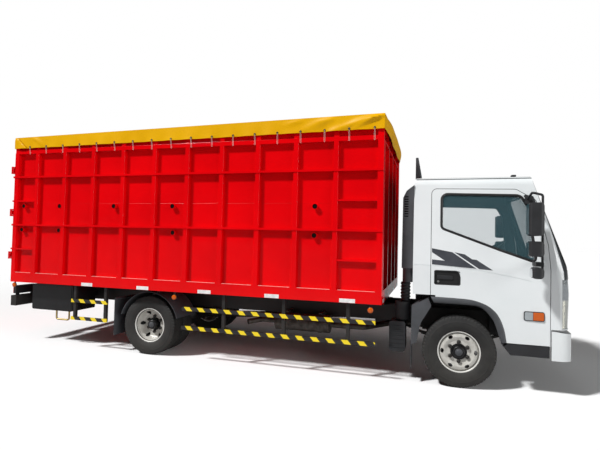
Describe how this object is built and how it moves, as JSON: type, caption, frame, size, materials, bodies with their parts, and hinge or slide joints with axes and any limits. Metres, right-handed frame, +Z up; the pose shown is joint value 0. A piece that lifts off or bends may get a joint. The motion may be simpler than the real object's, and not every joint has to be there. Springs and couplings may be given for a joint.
{
  "type": "tarpaulin-covered cargo truck",
  "caption": "Cab-over cargo truck with a ribbed steel load body, a tarpaulin roof cover, striped side guards, rear doors and a tilting cab.",
  "frame": {"origin": "on the ground under the middle of the truck", "axes": "+X forward, +Y to the truck's left, +Z up"},
  "size_m": [7.292, 2.56, 3.0257],
  "materials": {
    "white_paint": "gloss",
    "red_paint": "gloss",
    "black_paint": "satin",
    "hazard_paint": "gloss",
    "cast_block": "matt",
    "exhaust_steel": "matt",
    "silver_wheel": "satin",
    "black_plastic": "grained",
    "seal_rubber": "matt",
    "dark_trim": "grained",
    "seat_cloth": "woven",
    "tarpaulin": "coated",
    "tyre_rubber": "matt",
    "tinted_glass": "polished",
    "red_lamp": "clear",
    "clear_lamp": "clear"
  },
  "bodies": {
    "chassis": {"air_cleaner": "black_plastic", "battery_box": "black_plastic", "bumper": "white_paint", "cab_supports": "black_paint", "cross_members": "black_paint", "door_hinges": "black_paint", "engine": "cast_block", "exhaust": "exhaust_steel", "floor_bearers": "red_paint", "frame_rails": "black_paint", "front_axle": "black_paint", "fuel_tank": "black_paint", "guard_posts": "black_paint", "leaf_springs": "black_paint", "load_floor": "red_paint", "load_rear_frame": "red_paint", "load_wall_front": "red_paint", "load_wall_left": "red_paint", "load_wall_right": "red_paint", "mudguards": "black_plastic", "rear_axle": "black_paint", "rear_lamps": "red_lamp", "roof_bows": "red_paint", "side_guards": "hazard_paint", "tarp": "tarpaulin", "tool_box": "black_paint", "underrun_bar": "black_paint", "wall_stubs": "black_paint"},
    "cab": {"cab_shell": "white_paint", "cab_glass": "tinted_glass", "dashboard": "dark_trim", "seats": "seat_cloth", "headlamps": "clear_lamp", "snorkel": "black_plastic", "roof_deflector": "black_plastic", "cab_steps": "black_plastic", "grille": "black_plastic", "door_seals": "seal_rubber"},
    "side_door_right": {"door_right": "white_paint", "door_glass_right": "tinted_glass", "mirror_right": "black_plastic"},
    "side_door_left": {"door_left": "white_paint", "door_glass_left": "tinted_glass", "mirror_left": "black_plastic"},
    "steering": {"steering_wheel": "dark_trim"},
    "stub_left": {"knuckle_left": "black_paint"},
    "stub_right": {"knuckle_right": "black_paint"},
    "track_rod": {"tie_rod": "black_paint"},
    "wheel_front_left": {"tyre_front_left": "tyre_rubber", "rim_front_left": "silver_wheel"},
    "wheel_front_right": {"tyre_front_right": "tyre_rubber", "rim_front_right": "silver_wheel"},
    "wheels_rear_left": {"tyres_rear_left": "tyre_rubber", "rim_rear_left": "silver_wheel"},
    "wheels_rear_right": {"tyres_rear_right": "tyre_rubber", "rim_rear_right": "silver_wheel"},
    "leaf_left": {"rear_door_left": "red_paint"},
    "leaf_right": {"rear_door_right": "red_paint"}
  },
  "joints": [
    {"name": "cab_tilt", "type": "hinge", "parent": "chassis", "child": "cab", "pos_m": [3.581, 0, 0.64], "axis": [0, 1, 0], "range_deg": [0, 45]},
    {"name": "side_door_right_swing", "type": "hinge", "parent": "cab", "child": "side_door_right", "pos_m": [3.377, -0.994, 1.2], "axis": [0, 0, 1], "range_deg": [0, 65]},
    {"name": "side_door_left_swing", "type": "hinge", "parent": "cab", "child": "side_door_left", "pos_m": [3.377, 0.994, 1.2], "axis": [0, 0, -1], "range_deg": [0, 65]},
    {"name": "steer_left", "type": "hinge", "parent": "chassis", "child": "stub_left", "pos_m": [2.521, 0.745, 0.3835], "axis": [0, 0, 1], "range_deg": [-35, 35]},
    {"name": "steer_right", "type": "hinge", "parent": "chassis", "child": "stub_right", "pos_m": [2.521, -0.745, 0.3835], "axis": [0, 0, 1], "range_deg": [-35, 35]},
    {"name": "track_rod_turn", "type": "hinge", "parent": "stub_left", "child": "track_rod", "pos_m": [2.361, 0.745, 0.3835], "axis": [0, 0, 1], "range_deg": [-35, 35]},
    {"name": "steering_wheel_turn", "type": "hinge", "parent": "cab", "child": "steering", "pos_m": [2.991, 0.52, 1.48], "axis": [-0.5299, 0, 0.848], "range_deg": [-560, 560]},
    {"name": "front_left_spin", "type": "hinge", "parent": "stub_left", "child": "wheel_front_left", "pos_m": [2.521, 0.88, 0.3835], "axis": [0, 1, 0], "continuous": true},
    {"name": "front_right_spin", "type": "hinge", "parent": "stub_right", "child": "wheel_front_right", "pos_m": [2.521, -0.88, 0.3835], "axis": [0, 1, 0], "continuous": true},
    {"name": "rear_left_spin", "type": "hinge", "parent": "chassis", "child": "wheels_rear_left", "pos_m": [-1.329, 0.8, 0.3835], "axis": [0, 1, 0], "continuous": true},
    {"name": "rear_right_spin", "type": "hinge", "parent": "chassis", "child": "wheels_rear_right", "pos_m": [-1.329, -0.8, 0.3835], "axis": [0, 1, 0], "continuous": true},
    {"name": "leaf_left_swing", "type": "hinge", "parent": "chassis", "child": "leaf_left", "pos_m": [-3.594, 1.16, 1.85], "axis": [0, 0, -1], "range_deg": [0, 240]},
    {"name": "leaf_right_swing", "type": "hinge", "parent": "chassis", "child": "leaf_right", "pos_m": [-3.594, -1.16, 1.85], "axis": [0, 0, 1], "range_deg": [0, 240]}
  ],
  "couplings": [
    {"joint": "steer_right", "follows": "steer_left", "ratio": 1},
    {"joint": "track_rod_turn", "follows": "steer_left", "ratio": -1},
    {"joint": "steering_wheel_turn", "follows": "steer_left", "ratio": 16}
  ]
}
